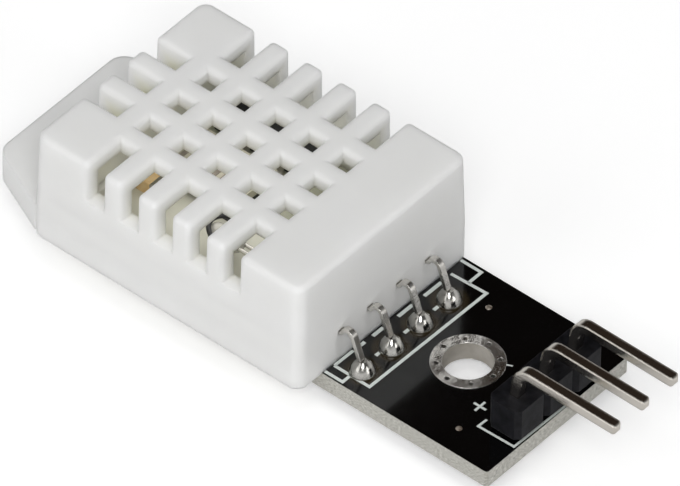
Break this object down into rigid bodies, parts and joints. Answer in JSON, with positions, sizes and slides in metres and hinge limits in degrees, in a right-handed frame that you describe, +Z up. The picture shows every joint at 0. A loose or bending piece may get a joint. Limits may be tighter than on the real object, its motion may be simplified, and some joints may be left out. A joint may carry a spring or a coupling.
{
  "type": "temperature humidity sensor module",
  "caption": "White grilled humidity and temperature sensor lying on a black circuit board with a mounting hole and a right-angle pin header.",
  "frame": {"origin": "centre of the board's mounting hole, on the board's underside", "axes": "+X along the board towards the header pins, +Y across the board, +Z up from the board through the sensor"},
  "size_m": [0.0429, 0.0151, 0.0099],
  "materials": {
    "white_housing": "fine matt",
    "black_mask": "glossy solder mask",
    "header_plastic": "satin",
    "tinned_copper": "bright tin",
    "solder": "bright solder",
    "nickel_pin": "satin plated",
    "inner_laminate": "olive laminate",
    "sensing_ceramic": "unglazed",
    "electrode_metal": "printed metal",
    "chip_plastic": "moulded epoxy",
    "bead_glaze": "glossy coating",
    "capacitor_ceramic": "fired ceramic",
    "resistor_ceramic": "coated ceramic"
  },
  "bodies": {
    "root": {"circuit_board": "black_mask", "mounting_ring": "tinned_copper", "lead_pads": "tinned_copper", "pin_pads": "tinned_copper", "lead_joints": "solder", "pin_joints": "solder", "sensor_lead_1": "nickel_pin", "sensor_lead_2": "nickel_pin", "sensor_lead_3": "nickel_pin", "sensor_lead_4": "nickel_pin", "header_pin_1": "nickel_pin", "header_pin_2": "nickel_pin", "header_pin_3": "nickel_pin", "header_block": "header_plastic", "housing_base": "white_housing", "grille_cover": "white_housing", "inner_board": "inner_laminate", "inner_joints": "solder", "element_supports": "chip_plastic", "humidity_element": "sensing_ceramic", "element_electrodes": "electrode_metal", "controller_chip": "chip_plastic", "chip_legs": "nickel_pin", "thermistor_bead": "bead_glaze", "thermistor_wires": "nickel_pin", "capacitor_body": "capacitor_ceramic", "capacitor_ends": "solder", "resistor_bodies": "resistor_ceramic", "resistor_ends": "solder"}
  },
  "joints": []
}
